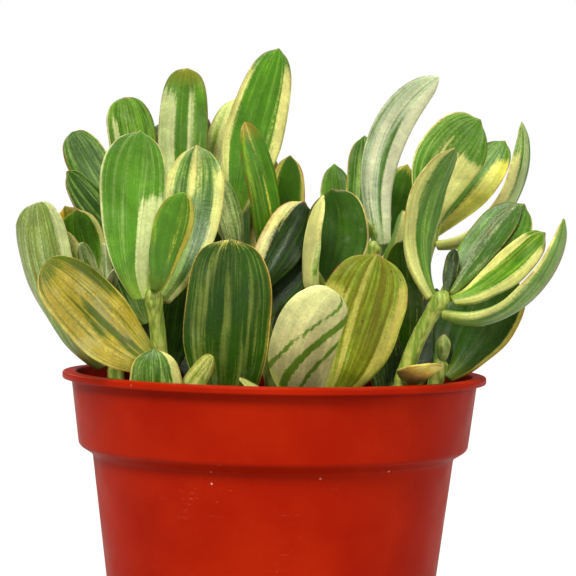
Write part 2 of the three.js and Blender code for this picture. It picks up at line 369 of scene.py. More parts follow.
def courseFromNode(name):
    # the leaf's middle line, width direction and sizes, read back from its rings
    first, rings, last = readRings(name)
    headFirst = np.linalg.norm(first - rings[0].mean(0)) > np.linalg.norm(last - rings[-1].mean(0))
    if headFirst:
        first, last, rings = last, first, rings[::-1]
    rings = np.array(rings)
    spread = np.linalg.norm(rings[:, :, None] - rings[:, None, :], axis=-1)
    widest = int(np.argmax(spread.max((1, 2))))
    a, b = np.unravel_index(np.argmax(spread[widest]), spread[widest].shape)
    across = np.zeros((len(rings), 3))
    centre = np.zeros((len(rings), 3))
    half = np.zeros(len(rings))
    guide = unit(rings[widest, a] - rings[widest, b])
    order = list(range(widest, len(rings))) + list(range(widest - 1, -1, -1))
    for k in order:
        lean = guide if k == widest else across[k - 1 if k > widest else k + 1]
        side = (rings[k] - rings[k].mean(0)) @ lean
        left, right = rings[k, np.argmin(side)], rings[k, np.argmax(side)]
        across[k] = unit(right - left)
        centre[k] = (left + right) / 2
        half[k] = np.linalg.norm(right - left) / 2
    line = np.vstack([first, centre, last])
    shares = arcShares(line)
    middle = slice(1, -1)
    ahead = unit(centre[widest + 1] - centre[widest - 1])
    upper = np.cross(ahead, across[widest])
    height = (rings[widest] - centre[widest]) @ upper
    if height.max() > -height.min():
        upper = -upper
    thickness = (height.max() - height.min()) / fullness(shares[widest + 1])
    choices = np.linspace(0.4, 0.75, 36)
    fits = [half.max() * outline(shares[middle], b, leafShape["footShare"]) - half for b in choices]
    broadest = choices[int(np.argmin([np.square(f).sum() for f in fits]))]
    return {
        "line": fitted(shares, line, 3),
        "across": fitted(shares[middle], across, 2),
        "upper": upper,
        "halfWidth": half.max(),
        "thickness": thickness,
        "broadest": broadest,
        "length": np.linalg.norm(np.diff(line, axis=0), axis=1).sum(),
        "foot": first,
    }


def direction(azimuth, elevation):
    # a unit vector: azimuth turns from +X towards +Y, elevation rises from the floor
    turn, rise = math.radians(azimuth), math.radians(elevation)
    return np.array([math.cos(rise) * math.cos(turn), math.cos(rise) * math.sin(turn), math.sin(rise)])


def courseFromPlan(start, tip, width, facing, bow, thickness, broadest):
    # a new leaf: a quadratic curve from start to tip whose middle sinks by bow from its upper side
    chord = unit(tip - start)
    upper = direction(*facing)
    upper = unit(upper - chord * (upper @ chord))
    s = np.linspace(0, 1, 12)[:, None]
    control = (start + tip) / 2 - 2 * bow * upper
    line = (1 - s) ** 2 * start + 2 * s * (1 - s) * control + s ** 2 * tip
    across = np.tile(np.cross(chord, upper), (12, 1))
    return {
        "line": fitted(s[:, 0], line, 3),
        "across": fitted(s[:, 0], across, 2),
        "upper": upper,
        "halfWidth": width / 2,
        "thickness": thickness,
        "broadest": broadest,
        "length": np.linalg.norm(tip - start),
        "foot": start,
    }


def nearestOnStem(stem, point):
    # the closest of 80 points on the stem's axis, and its share of the length
    s = np.linspace(0, 1, 80)
    axis = along(stem["axis"], s)
    k = int(np.argmin(np.linalg.norm(axis - point, axis=1)))
    return s[k], axis[k]


def bandAmount(bands, u, s):
    # the greatest of the bands: each is flat in its middle and falls off as exp(-x^4) at its sides,
    # and runs from its place at the foot to its place at the tip
    amount = np.zeros_like(u)
    for band in bands:
        atFoot, atTip, half, strength = band[:4]
        start, end = band[4:6] if len(band) > 4 else (0.0, 1.0)
        offset = (u - (atFoot + (atTip - atFoot) * s)) / half
        window = np.ones_like(s)
        if start > 0:
            window = window * ease(s, start - 0.07, start + 0.07)
        if end < 1:
            window = window * (1 - ease(s, end - 0.09, end + 0.09))
        amount = np.maximum(amount, strength * np.exp(-offset ** 4) * window)
    return amount


def leafSurface(course, axisPoint, looks, seed, shape=leafShape):
    # the surface over s, from foot to tip, and an angle round it: x = half width * cos(angle),
    # z = depth * |sin(angle)|^edgeSharpness, carried onto the middle line, with the margins
    # lifted by cup * x^2, the middle of the upper side sunk by a groove, and a small point
    looks = {**plainLooks, **looks}
    draw = np.random.default_rng(seed)
    count, sides = shape["rings"], shape["sides"]
    even = np.linspace(0, 1, count + 2)[1:-1]
    s = (1 - shape["endCrowding"]) * even + shape["endCrowding"] * (0.5 - 0.5 * np.cos(np.pi * even))
    s = s[:, None]
    angle = (np.arange(sides) * 2 * np.pi / sides)[None, :]
    x = np.cos(angle) + 0 * s
    rise = np.sin(angle) + 0 * s
    line = along(course["line"], s[:, 0])
    tangent = unit(np.gradient(line, s[:, 0], axis=0))
    across = along(course["across"], s[:, 0])
    across = unit(across - tangent * np.sum(across * tangent, 1, keepdims=True))
    normal = np.cross(tangent, across)
    if normal[count // 2] @ course["upper"] < 0:
        normal = -normal
    viewRight = np.cross([0.0, 1.0, 0.0], tangent[count // 2])
    side = 1.0 if across[count // 2] @ viewRight >= 0 else -1.0
    twist = math.radians(draw.uniform(-shape["twist"], shape["twist"])) * (s - 0.3)
    across, normal = (np.cos(twist) * across + np.sin(twist) * normal,
                      np.cos(twist) * normal - np.sin(twist) * across)
    broadest = min(course["broadest"] + looks["higher"], shape["highest"])
    half = looks["wide"] * course["halfWidth"] * outline(s, broadest, looks["foot"], looks["blunt"])
    lumps = 2 * np.pi * (shape["lumpTurns"] * s + draw.random()) + 2.0 * np.sign(x) * draw.random()
    half = half * (1 + shape["lumps"] * np.sin(lumps))
    depth = course["thickness"] * fullness(s)
    above = shape["upperShare"] * depth * np.maximum(rise, 0) ** shape["edgeSharpness"]
    below = (1 - shape["upperShare"]) * depth * np.maximum(-rise, 0) ** (shape["edgeSharpness"] * 0.8)
    groove = shape["groove"] * np.exp(-(x / shape["grooveHalf"]) ** 2) * (rise > 0) * np.sin(np.pi * s)
    lift = shape["cup"] * half * x ** 2 * np.sin(np.pi * np.minimum(s * 1.1, 1)) ** 0.5
    wave = shape["wave"] * np.sin(2 * np.pi * (shape["waveTurns"] * s + draw.random()) + x)
    wave = wave * np.abs(x) ** 3 * np.sin(np.pi * s)
    ripple = shape["ripple"] * np.sin(2 * np.pi * (x * shape["rippleTurns"] + draw.random()))
    ripple = ripple * np.sin(np.pi * s) * np.abs(rise)
    z = above - below - groove + lift + wave + ripple
    mucro = looks["mucro"] * shape["mucro"]
    point = mucro * np.exp(-((x * half) / shape["mucroHalf"]) ** 2) * ease(s, shape["mucroStart"], 1.0)
    pull = shape["intoStem"] * np.maximum(1 - s / shape["footReach"], 0) ** 2
    toStem = axisPoint - course["foot"]
    toStem = unit(toStem) if np.linalg.norm(toStem) > 1e-6 else toStem
    surface = (line[:, None] + (x * half)[..., None] * across[:, None] + z[..., None] * normal[:, None]
               + point[..., None] * tangent[:, None] + (pull[..., None] * toStem))
    bend = side * looks["bend"] * mm * 4 * s * (1 - s)
    surface = surface + bend[..., None] * across[:, None]
    foot = along(course["line"], np.array([0.0]))[0] + shape["intoStem"] * toStem
    tip = along(course["line"], np.array([1.0]))[0] + mucro * tangent[-1]
    points = np.vstack([surface.reshape(-1, 3), foot, tip])
    faces = closedTube(count, sides)

    # what the skin shows: u runs from the left margin to the right one as seen from the front
    u = side * x
    edge = np.minimum((1 - np.abs(x)) * half, (1 - s) * course["length"] + 0 * x)
    dark = bandAmount(looks["dark"], u, s)
    pale = np.clip(looks["streak"] + bandAmount(looks["pale"], u, s) - dark, *shape["paleRange"])
    light = np.clip(looks["glow"] + bandAmount(looks["light"], u, s) - dark, *shape["lightRange"])
    warm = bandAmount(looks["warm"], u, s)
    rim = looks["rim"] * np.exp(-(edge / shape["rimWidth"]) ** 2) * ease(s, *shape["rimStart"])
    scar = bandAmount(looks["scar"], u, s)
    grain = seed * shape["laneStep"] + 0.25 * z / course["thickness"]
    lane = np.stack([u * course["halfWidth"] / shape["laneWidth"], s + 0 * x, grain], -1)
    tone = np.stack([pale, light, warm], -1)
    marks = np.stack([rim, looks["speck"] + 0 * x, scar], -1)

    def whole(field):
        # a field's rows, and for each pole the mean of the ring beside it
        flatField = field.reshape(-1, 3)
        return np.vstack([flatField, flatField[:sides].mean(0), flatField[-sides:].mean(0)])

    fields = {"lane": whole(lane), "tone": whole(tone), "marks": whole(marks)}
    for key, colour in zip(("green", "lighter", "paler"), looks["tones"].split()):
        fields[key] = np.tile(linear(palette[colour]), (len(points), 1))
    return points, faces, fields


plainLooks = {
    "streak": 0.12, "glow": 0.35,
    "rim": 0.5,  # brown at the margin
    "speck": 0.12,
    "wide": 1.0,  # times its node's width
    "higher": 0.05,  # how far the broadest place moves to the tip
    "blunt": 1.1,  # over 1 is squarer at the tip
    "foot": leafShape["footShare"],
    "mucro": 1.0,  # times the small point's length
    "bend": 0.0,  # sideways, in millimetres
    "pale": [], "light": [], "dark": [], "warm": [], "scar": [],
}
palette = {
    # the first green, near black, is painted shade for leaves deep inside the plant
    "ink": (24, 46, 2), "deep": (44, 84, 6), "forest": (60, 104, 10), "mid": (84, 138, 28),
    "bright": (92, 150, 22), "grey": (90, 132, 50), "olive": (122, 120, 14), "grass": (118, 156, 22),
    "moss": (86, 104, 14), "vivid": (74, 130, 16),  # greens
    "sage": (140, 176, 84), "mint": (188, 208, 130), "lime": (150, 180, 48), "khaki": (178, 158, 48),
    "leaf": (114, 160, 44), "shade": (78, 104, 34), "fern": (126, 144, 60),
    "frost": (206, 220, 178),  # lighter greens
    "ivory": (246, 244, 202), "cream": (240, 232, 142), "butter": (236, 220, 92), "amber": (222, 178, 52),
    "custard": (246, 242, 166), "milk": (222, 228, 160), "straw": (218, 204, 100),  # pales
}
# A leaf's tones are its green, a lighter one and a pale one. streak and glow are how much of the pale
# and of the lighter one shows all over. pale, light, dark, warm and scar are bands: their place at the
# foot and at the tip (-1 is the left margin and 1 the right one), half width, strength, and the shares
# of the length where they start and end. What a leaf doesn't name is as in plainLooks.
# Leaves low in the plant and at its back have the darkest greens and the dull shade green as painted shade of
# its crowded inside.
leafLooks = {
    "left_front_1": dict(tones="mid sage milk", streak=0.04, glow=0.24, higher=0.12,
        pale=[(0.45, 0.8, 0.42, 1.05, 0.0, 0.62), (-1, -1, 0.05, 1), (1, 1, 0.05, 1)],
        dark=[(0.1, 0.0, 0.12, 0.35, 0.0, 0.8)]),
    "left_front_2": dict(tones="forest sage cream", streak=0.24, glow=0.62, higher=0.1,
        pale=[(1, 0.95, 0.34, 1, 0.0, 0.85), (-1, -1, 0.28, 0.8, 0.35, 1.0), (-0.2, 0.0, 0.2, 0.5, 0.7, 1)],
        dark=[(0.45, 0.45, 0.18, 0.6, 0.1, 0.75)]),
    "left_front_3": dict(tones="mid lime butter", glow=0.3, blunt=1.0, mucro=0.5,
        pale=[(0.85, 0.95, 0.28, 0.8)], dark=[(-0.5, -0.3, 0.35, 0.4)]),
    "left_front_4": dict(tones="moss khaki straw", streak=0.3, glow=0.85, rim=0.3, blunt=1.2, foot=0.4,
        mucro=0.0, pale=[(1, 1, 0.07, 1), (-1, -1, 0.07, 1)], dark=[(0.15, -0.2, 0.08, 1.3, 0.02, 0.66),
        (-0.12, -0.42, 0.05, 1.1, 0.02, 0.5), (0, 0, 1.5, 0.7, 0.9, 1.0), (0.9, 0.85, 0.25, 0.8, 0.5, 1.0)]),
    "left_front_5": dict(tones="forest sage cream", streak=0.1, glow=0.4,
        pale=[(1, 1, 0.35, 1), (-1, -1, 0.1, 0.8)]),
    "far_left_1": dict(tones="olive sage milk", streak=0.34, glow=0.6, rim=0.2, speck=0.5, wide=1.22,
        blunt=1.4, mucro=0.0, pale=[(-1, -1, 0.06, 0.9), (1, 1, 0.2, 0.9)]),
    "far_left_2": dict(tones="olive khaki amber", streak=0.3, pale=[(-0.8, -0.8, 0.4, 1)]),
    "far_left_3": dict(tones="forest leaf cream", streak=0.05, glow=0.3, speck=0.7,
        pale=[(1, 0.95, 0.22, 1)]),
    "far_left_4": dict(tones="ink shade milk", pale=[(1, 1, 0.075, 1)]),
    "back_left_1": dict(tones="deep sage milk", streak=0.08, glow=0.3, pale=[(-1, -1, 0.06, 0.8)]),
    "back_left_2": dict(tones="forest sage milk", streak=0.1, rim=0.9, blunt=1.3, mucro=0.3,
        pale=[(1, 1, 0.05, 0.9)]),
    "back_left_3": dict(tones="forest leaf milk", streak=0.16, glow=0.7, rim=0.9, blunt=1.3, mucro=0.2,
        pale=[(-0.62, -0.6, 0.12, 0.8, 0.0, 0.85), (-1, -1, 0.07, 1)]),
    "back_left_4": dict(tones="deep leaf cream", streak=0.02, glow=0.2),
    "back_left_5": dict(tones="ink shade milk", streak=0.1, pale=[(-1, -1, 0.075, 0.9)]),
    "back_left_6": dict(tones="deep sage milk", streak=0.1, pale=[(0.9, 0.9, 0.2, 0.9)]),
    "back_middle_1": dict(tones="mid leaf milk", glow=0.45, blunt=1.35, mucro=0.4,
        pale=[(-0.75, -0.8, 0.42, 1, 0.0, 0.84), (0.35, 0.3, 0.11, 0.85, 0.0, 0.88)],
        warm=[(0, 0, 1.5, 0.5, 0.93, 1)]),
    "back_middle_2": dict(tones="lime mint cream", streak=0.5, glow=0.7, wide=1.35),
    "back_middle_3": dict(tones="deep sage cream", pale=[(1, 1, 0.2, 1)]),
    "back_middle_4": dict(tones="ink shade cream", streak=0.05),
    "centre_1": dict(tones="vivid leaf cream", streak=0.1, glow=0.28, rim=0.7, higher=0.0,
        pale=[(-0.98, -0.98, 0.22, 1, 0.0, 0.88), (0.85, 0.8, 0.26, 0.75, 0.0, 0.92)],
        dark=[(0.0, -0.1, 0.3, 0.2, 0.0, 0.5)]),
    "centre_2": dict(tones="vivid lime butter", streak=0.1, glow=0.3, mucro=0.3,
        pale=[(0.1, -0.3, 0.05, 0.4)], dark=[(0.6, 0.5, 0.4, 0.3)], warm=[(0, 0, 1.5, 0.8, 0.94, 1)]),
    "centre_3": dict(tones="forest forest straw", streak=0.02, glow=0.4, rim=0.9,
        pale=[(-0.8, -0.8, 0.35, 0.9), (1, 1, 0.25, 0.9)]),
    "centre_4": dict(tones="grey sage milk", streak=0.45, glow=0.6),
    "centre_5": dict(tones="ink shade milk", pale=[(-1, -1, 0.2, 0.9)]),
    "middle_front_1": dict(tones="deep fern straw", streak=0.03, glow=0.18, blunt=1.5, foot=0.5,
        pale=[(1, 1, 0.03, 0.9), (-1, -1, 0.04, 0.8), (0, 0, 1.5, 0.7, 0.985, 1)],
        light=[(-0.85, -0.45, 0.1, 0.8, 0.0, 0.92), (-0.25, -0.12, 0.08, 0.7, 0.05, 0.48),
        (0.0, 0.06, 0.05, 0.8, 0.5, 0.97), (0.35, 0.5, 0.08, 0.6, 0.08, 0.42),
        (0.6, 0.5, 0.05, 0.45, 0.55, 0.85)], warm=[(1, 1, 0.06, 0.4)]),
    "middle_front_2": dict(tones="ink forest cream", streak=0.02, glow=0.15, rim=0.8,
        pale=[(-0.85, -0.9, 0.5, 1.0)], warm=[(-1, -1, 0.2, 0.5)]),
    "front_1": dict(tones="bright mint cream", streak=0.15, glow=0.6, pale=[(0.2, 0.2, 0.8, 1.2)]),
    "front_2": dict(tones="deep forest cream", streak=0.03, glow=0.2, rim=0.6,
        pale=[(1, 1, 0.05, 1, 0.3, 1)], light=[(0.5, 0.6, 0.34, 0.9)]),
    "front_3": dict(tones="olive lime straw", glow=0.55, rim=1.0, speck=1.0, blunt=1.25, foot=0.4,
        pale=[(-0.12, -0.1, 0.07, 0.85), (-0.65, -0.85, 0.4, 0.9, 0.0, 0.75),
        (0.8, 0.85, 0.18, 0.65, 0.0, 0.85)], dark=[(0.35, 0.4, 0.2, 0.35)]),
    "front_4": dict(tones="leaf mint custard", streak=0.85, glow=0.6, rim=0.1, higher=0.14, blunt=1.3,
        foot=0.22, mucro=0.0, pale=[(0, 0, 1.5, 0.3)],
        dark=[(-1.73, 1.36, 0.15, 1.35), (-1.05, 2.0, 0.1, 1.2), (-2.4, 0.75, 0.09, 1.1)],
        scar=[(0.55, 0.5, 0.3, 1.0, 0.22, 0.3)]),
    "back_right_middle_1": dict(tones="forest sage butter", glow=0.45, rim=0.9, speck=0.4,
        pale=[(0.95, 0.95, 0.14, 0.9), (-1, -1, 0.05, 0.8)]),
    "back_right_middle_2": dict(tones="forest leaf milk", streak=0.08, glow=0.4, pale=[(-1, -1, 0.05, 0.8)]),
    "back_right_middle_3": dict(tones="grey frost ivory", streak=0.28, glow=0.9, rim=0.3, wide=1.12,
        blunt=0.95, foot=0.5, bend=-2.2, pale=[(0.75, 0.8, 0.42, 1.0), (-0.3, -0.4, 0.12, 0.6, 0.0, 0.7)],
        dark=[(0.2, 0.25, 0.1, 0.6, 0.1, 0.7)]),
    "back_right_middle_4": dict(tones="mid leaf butter", pale=[(0, 0, 1.5, 0.8, 0.95, 1)]),
    "back_right_middle_5": dict(tones="mid leaf cream", streak=0.2, pale=[(0.6, 0.6, 0.6, 1)]),
    "back_right_middle_6": dict(tones="deep shade milk", pale=[(1, 1, 0.2, 0.9)]),
    "back_right_1": dict(tones="vivid sage cream", streak=0.15, glow=0.45, rim=0.6,
        pale=[(0.45, 0.8, 0.62, 1.0, 0.0, 0.66), (-1, -1, 0.05, 0.8), (-0.45, -0.2, 0.12, 0.5, 0.1, 0.8)]),
    "back_right_2": dict(tones="forest leaf butter", streak=0.05, glow=0.55, rim=0.6,
        pale=[(0.6, 0.8, 0.55, 1.0, 0.0, 0.85)]),
    "back_right_3": dict(tones="vivid mint cream", streak=0.1, glow=0.45,
        pale=[(0, 0, 1.5, 0.55, 0.0, 0.5), (-0.85, -0.8, 0.2, 0.9, 0.0, 0.8)],
        light=[(-0.2, -0.1, 0.3, 0.5)]),
    "back_right_4": dict(tones="ink shade cream", streak=0.05),
    "right_front_1": dict(tones="vivid sage cream", glow=0.45, rim=0.6, bend=-0.8,
        pale=[(-0.75, -0.85, 0.36, 1), (1, 1, 0.06, 0.9)]),
    "right_front_2": dict(tones="forest leaf cream", streak=0.04, glow=0.3, wide=1.15,
        pale=[(1, 1, 0.04, 0.9), (0.8, 0.95, 0.2, 0.6, 0.0, 0.4)]),
    "right_front_3": dict(tones="vivid lime cream",
        pale=[(-0.85, -0.85, 0.4, 1, 0.0, 0.85), (0.9, 0.9, 0.35, 0.9, 0.0, 0.9)]),
    "right_front_4": dict(tones="grey sage cream", streak=0.18, glow=0.6, speck=0.6,
        pale=[(-1, -1, 0.06, 0.9), (0.95, 0.95, 0.2, 0.8)], warm=[(0.2, 0.3, 0.2, 0.5, 0.5, 0.9)]),
    "right_front_5": dict(tones="lime mint butter", streak=0.95, glow=0.8, rim=0.8, speck=0.8,
        warm=[(0, 0, 1.5, 0.1)]),
    "right_low_1": dict(tones="deep shade butter", streak=0.03, glow=0.25, pale=[(0.97, 0.97, 0.18, 1)],
        warm=[(1, 1, 0.06, 0.6)]),
    "right_low_2": dict(tones="deep shade milk", streak=0.03, glow=0.2),
}


leafSkin = {
    # spots to a metre, detail, roughness, distortion
    "grain": (1500.0, 3.0, 0.7), "clouds": (150.0, 4.0, 0.6, 0.6), "haze": (95.0, 4.0, 0.65, 0.4),
    "dots": 420.0, "patches": (160.0, 2.0), "breaks": (260.0, 3.0), "tears": (500.0, 3.0),
    "glossSpots": (700.0, 3.0), "pores": (1700.0, 3.0),
    # noises drawn out along the leaf: stretch, shift, detail, roughness, distortion
    "wander": ((1.2, 1.6, 3.0), (0.0, 0.0, 0.0), 2.0, 0.55, 0.0),
    "streaks": ((4.6, 1.1, 5.0), (0.3, 0.0, 0.0), 5.0, 0.60, 0.5),
    "fine": ((9.5, 1.5, 5.0), (3.1, 1.7, 0.0), 4.0, 0.62, 0.4),
    # how strongly a noise moves a tone, and where the tone starts and is full
    "paleGain": 1.25, "paleFineGain": 0.9, "paleCut": (0.24, 0.78),
    "lightGain": 3.2, "lightCut": (0.05, 1.05), "speckle": 0.5,
    "veins": 0.42, "veinCut": (0.36, 0.70),
    "foot": 0.50, "footCut": (0.02, 0.24), "footColour": (132, 152, 48),
    "warm": 0.6, "warmColour": (206, 140, 48),
    "broad": (0.74, 1.14), "blotch": (0.74, 1.18), "dapple": (0.90, 1.08),  # darkest, lightest
    # the pale grey-green patches set next are partly waxy bloom and partly painted sheen
    "waxAndPaintedSheen": 0.22, "waxAndPaintedSheenCut": (0.50, 0.72), "waxAndPaintedSheenColour": (196, 208, 172),
    "dotCut": (0.10, 0.20), "dotPatch": (0.50, 0.66), "dotColour": (104, 66, 26),
    "rimCut": (0.36, 0.60), "rimColour": (150, 84, 38),
    "scarCut": (0.42, 0.56), "scarColour": (132, 62, 26),
    "gloss": (0.29, 0.44),  # lowest and highest roughness
    "shine": 0.30, "inside": 0.12, "insideReach": 1.2 * mm,
    "ribs": 0.06 * mm, "pits": 0.08 * mm,
}
sapColour = (0.9, 1.0, 0.35)  # what light turns into inside leaves and stems


def makeLeafFinish(skin):
    # three tones in lengthwise streaks: a tone's own field plus a noise drawn out along the leaf,
    # eased from 0 to 1 across that tone's cut, is the share of lighter over green, and then of
    # paler over both; broad, blotchy and fine mottling of the tone, pale patches of waxy bloom and
    # painted sheen, dots, brown rim and scar lie over them
    f = Finish("variegated skin")
    lane, place = f.field("lane"), f.place()
    tone, marks = f.field("tone"), f.field("marks")
    runs = [skin["wander"], skin["streaks"], skin["fine"]]
    wander, streaky, finer = [f.noise(f.stretch(lane, *run[:2]), 1.0, *run[2:]) for run in runs]
    grain = f.noise(place, *skin["grain"])
    speckle = f.centred(grain, skin["speckle"])
    moved = f.sum(f.centred(streaky, skin["paleGain"]), f.centred(finer, skin["paleFineGain"]))
    paleShare = f.between(f.sum(f.sum(f.part(tone, 0), moved), speckle), skin["paleCut"])
    moved = f.centred(finer, skin["lightGain"])
    lightShare = f.between(f.sum(f.sum(f.part(tone, 1), moved), speckle), skin["lightCut"])
    lighter = f.field("lighter", "Color")
    green = f.blend(lightShare, f.field("green", "Color"), lighter)
    veined = f.between(f.sum(finer, f.times(speckle, 0.5)), skin["veinCut"], (skin["veins"], 0.0))
    colour = f.blend(paleShare, green, f.blend(veined, f.field("paler", "Color"), lighter))
    footShare = f.between(f.part(lane, 1), skin["footCut"], (skin["foot"], 0.0))
    colour = f.tint(footShare, colour, skin["footColour"])
    colour = f.tint(f.times(f.part(tone, 2), skin["warm"]), colour, skin["warmColour"])
    blotch = f.spread(f.noise(place, *skin["clouds"]), skin["blotch"])
    value = f.times(f.times(f.spread(wander, skin["broad"]), blotch), f.spread(grain, skin["dapple"]))
    shaded = f.node("ShaderNodeCombineColor", 0, {0: value, 1: value, 2: value})
    colour = f.blend(1.0, colour, shaded, "MULTIPLY")
    # pale grey-green patches over the lighter streaks: partly waxy bloom, partly painted sheen
    waxAndPaintedSheen = f.between(f.noise(place, *skin["haze"]), skin["waxAndPaintedSheenCut"], (0.0, skin["waxAndPaintedSheen"]))
    colour = f.tint(f.times(waxAndPaintedSheen, f.part(tone, 1)), colour, skin["waxAndPaintedSheenColour"])
    dots = f.between(f.cells(place, skin["dots"]), skin["dotCut"], (1.0, 0.0))
    sparse = f.between(f.noise(place, *skin["patches"]), skin["dotPatch"])
    colour = f.tint(f.times(f.times(dots, sparse), f.part(marks, 1)), colour, skin["dotColour"])
    broken = f.between(f.noise(place, *skin["breaks"]), skin["rimCut"])
    colour = f.tint(f.times(f.part(marks, 0), broken), colour, skin["rimColour"])
    torn = f.between(f.noise(place, *skin["tears"]), skin["scarCut"])
    colour = f.tint(f.times(f.part(marks, 2), torn), colour, skin["scarColour"])
    f.set(Base_Color=colour, Roughness=f.spread(f.noise(place, *skin["glossSpots"]), skin["gloss"]),
          Subsurface_Weight=skin["inside"], Subsurface_Scale=skin["insideReach"],
          Subsurface_Radius=sapColour, Specular_IOR_Level=skin["shine"])
    ribs = f.bump(finer, skin["ribs"])
    f.set(Normal=f.bump(f.noise(place, *skin["pores"]), skin["pits"], ribs))
    return f.material


leafFinish = makeLeafFinish(leafSkin)
for seed, name in enumerate(leafNames):
    course = courseFromNode(name)
    short = name[len("leaf_"):]
    stem = stems["stem_" + short.rsplit("_", 1)[0]]
    share, axisPoint = nearestOnStem(stem, course["foot"])
    stem["joints"].append(share)
    points, faces, fields = leafSurface(course, axisPoint, leafLooks[short], seed)
    mesh = putMesh(name + "_skin", points, faces, fields)
    addPiece("living_" + name, mesh, leafFinish, "leaf", name)
print("leaves made:", len(leafNames))


# Places in millimetres from the middle of the soil's surface: stem, its share where the foot
# sits, tip, width, the azimuth and elevation its upper side faces, bow, and its colours.
# The wide low leaves in the darkest greens fill the plant's inside; their near-black colour is painted shade.
youngLeaves = {
    "left_front": [
        (0.06, (-14.5, -42, 17), 6.5, (-90, 30), 0.8, dict(tones="grass lime cream", streak=0.5, speck=0.5)),
    ],
    "front": [
        (0.03, (-8, -39.5, 11.6), 7.5, (-90, 55), 1.0, dict(tones="grass mint cream", streak=0.6)),
    ],
    "far_left": [
        (0.92, (-48, -20, 43), 5.5, (-60, 15), 0.8, dict(tones="leaf mint ivory", streak=0.55)),
        (0.94, (-42, -22, 43), 4.5, (-120, 15), 0.6, dict(tones="leaf mint ivory", streak=0.5)),
        (0.88, (-39, -26, 37), 4.5, (-70, 15), 0.6, dict(tones="leaf mint ivory", streak=0.5)),
        (0.9, (-53, -14, 46), 4.5, (-100, 15), 0.6, dict(tones="mid mint cream", streak=0.6)),
    ],
    "middle_front": [
        (0.8, (7, -8, 47), 14.0, (-90, 10), 1.0, dict(tones="ink deep straw", streak=0.02)),
    ],
    "back_left": [
        (0.12, (-25, 6, 36), 13.0, (-90, 15), 1.5, dict(tones="ink deep straw", streak=0.02)),
        (0.3, (-30, 18, 26), 12.0, (-100, 25), 2.0, dict(tones="deep shade milk", streak=0.1)),
    ],
    "back_right": [
        (0.1, (31, -15, 45), 10.0, (-95, 10), 1.0, dict(tones="deep shade milk")),
    ],
    "back_middle": [
        (0.96, (-20, 36, 78.5), 4.5, (-80, 5), 0.2, dict(tones="ink deep butter", rim=1.0)),
    ],
    "centre": [
        (0.4, (-8, 22, 58), 17.0, (-85, 10), 1.5, dict(tones="deep shade milk", streak=0.05)),
        (0.22, (-14, 14, 34), 13.0, (-95, 10), 1.5, dict(tones="ink deep straw", streak=0.02)),
        (0.6, (-2, 12, 67), 7.5, (-90, 10), 1.0, dict(tones="olive khaki amber", rim=1.0)),
    ],
    "right_front": [
        (0.05, (26, -21, 25), 9.0, (-90, 12), 1.0, dict(tones="deep sage milk", streak=0.32)),
        (0.97, (59, -22, 54), 5.5, (-95, 10), 0.8, dict(tones="forest shade milk", streak=0.3)),
        (0.95, (43, -26, 43), 4.0, (-70, 10), 0.5, dict(tones="ink deep cream", streak=0.2)),
    ],
}
budPairs = ["back_left", "back_middle", "front", "back_right_middle", "back_right", "right_low"]
youngShape = {  # millimetres
    "thickest": 2.4, "thickness": 0.42,  # the second as a share of the width
    "broadest": 0.55,
    "budLength": 7.0, "budWidth": 3.6, "budThickness": 1.7,
    "budRise": 58,  # degrees
    "budLooks": dict(tones="leaf mint cream", streak=0.35, glow=0.6),
    "detail": dict(rings=26, sides=22, wave=0.05 * mm, groove=0.08 * mm, mucro=0.3 * mm, intoStem=0.6 * mm),
}


def joined(parts):
    # several surfaces into one set of points, faces and fields
    offset, allFaces = 0, []
    for points, faces, fields in parts:
        allFaces += [face + offset for face in faces]
        offset += len(points)
    points = np.vstack([part[0] for part in parts])
    fields = {key: np.vstack([part[2][key] for part in parts]) for key in parts[0][2]}
    return points, allFaces, fields


def makeYoungLeaves(small):
    # each grows out of its stem's side as a curve to its tip; a pair of buds ends some stems, on
    # opposite sides of the top
    shape = {**leafShape, **small["detail"]}
    made = 0
    for number, stemName in enumerate(stemNames):
        short = stemName[len("stem_"):]
        stem = stems[stemName]
        parts = []
        for k, (share, tip, width, facing, bow, looks) in enumerate(youngLeaves.get(short, [])):
            tip = np.array(tip) * mm + [0, 0, soilLevel]
            start = along(stem["axis"], np.array([share]))[0]
            out = (tip - start) * [1, 1, 0]
            start = start + unit(out) * 0.9 * np.polyval(stem["radius"], share)
            thickness = min(small["thickness"] * width, small["thickest"]) * mm
            course = courseFromPlan(start, tip, width * mm, facing, bow * mm, thickness, small["broadest"])
            parts.append(leafSurface(course, start, looks, 100 + 10 * number + k, shape))
        if short in budPairs:
            draw = np.random.default_rng(400 + number)
            turn = draw.uniform(0, 180)
            top = along(stem["axis"], np.array([0.985]))[0]
            for k in (0, 1):
                away = direction(turn + 180 * k, small["budRise"])
                tip = top + away * (small["budLength"] * draw.uniform(0.8, 1.1) * mm)
                course = courseFromPlan(top - away * 0.6 * mm, tip, small["budWidth"] * mm,
                                        (turn + 180 * k + 180, 30), 0.4 * mm, small["budThickness"] * mm, 0.5)
                parts.append(leafSurface(course, top, small["budLooks"], 300 + 10 * number + k, shape))
        if parts:
            mesh = putMesh("young_" + short, *joined(parts))
            addPiece("young_leaves_" + short, mesh, leafFinish, "leaf")
            made += len(parts)
    print("young leaves made:", made)


makeYoungLeaves(youngShape)


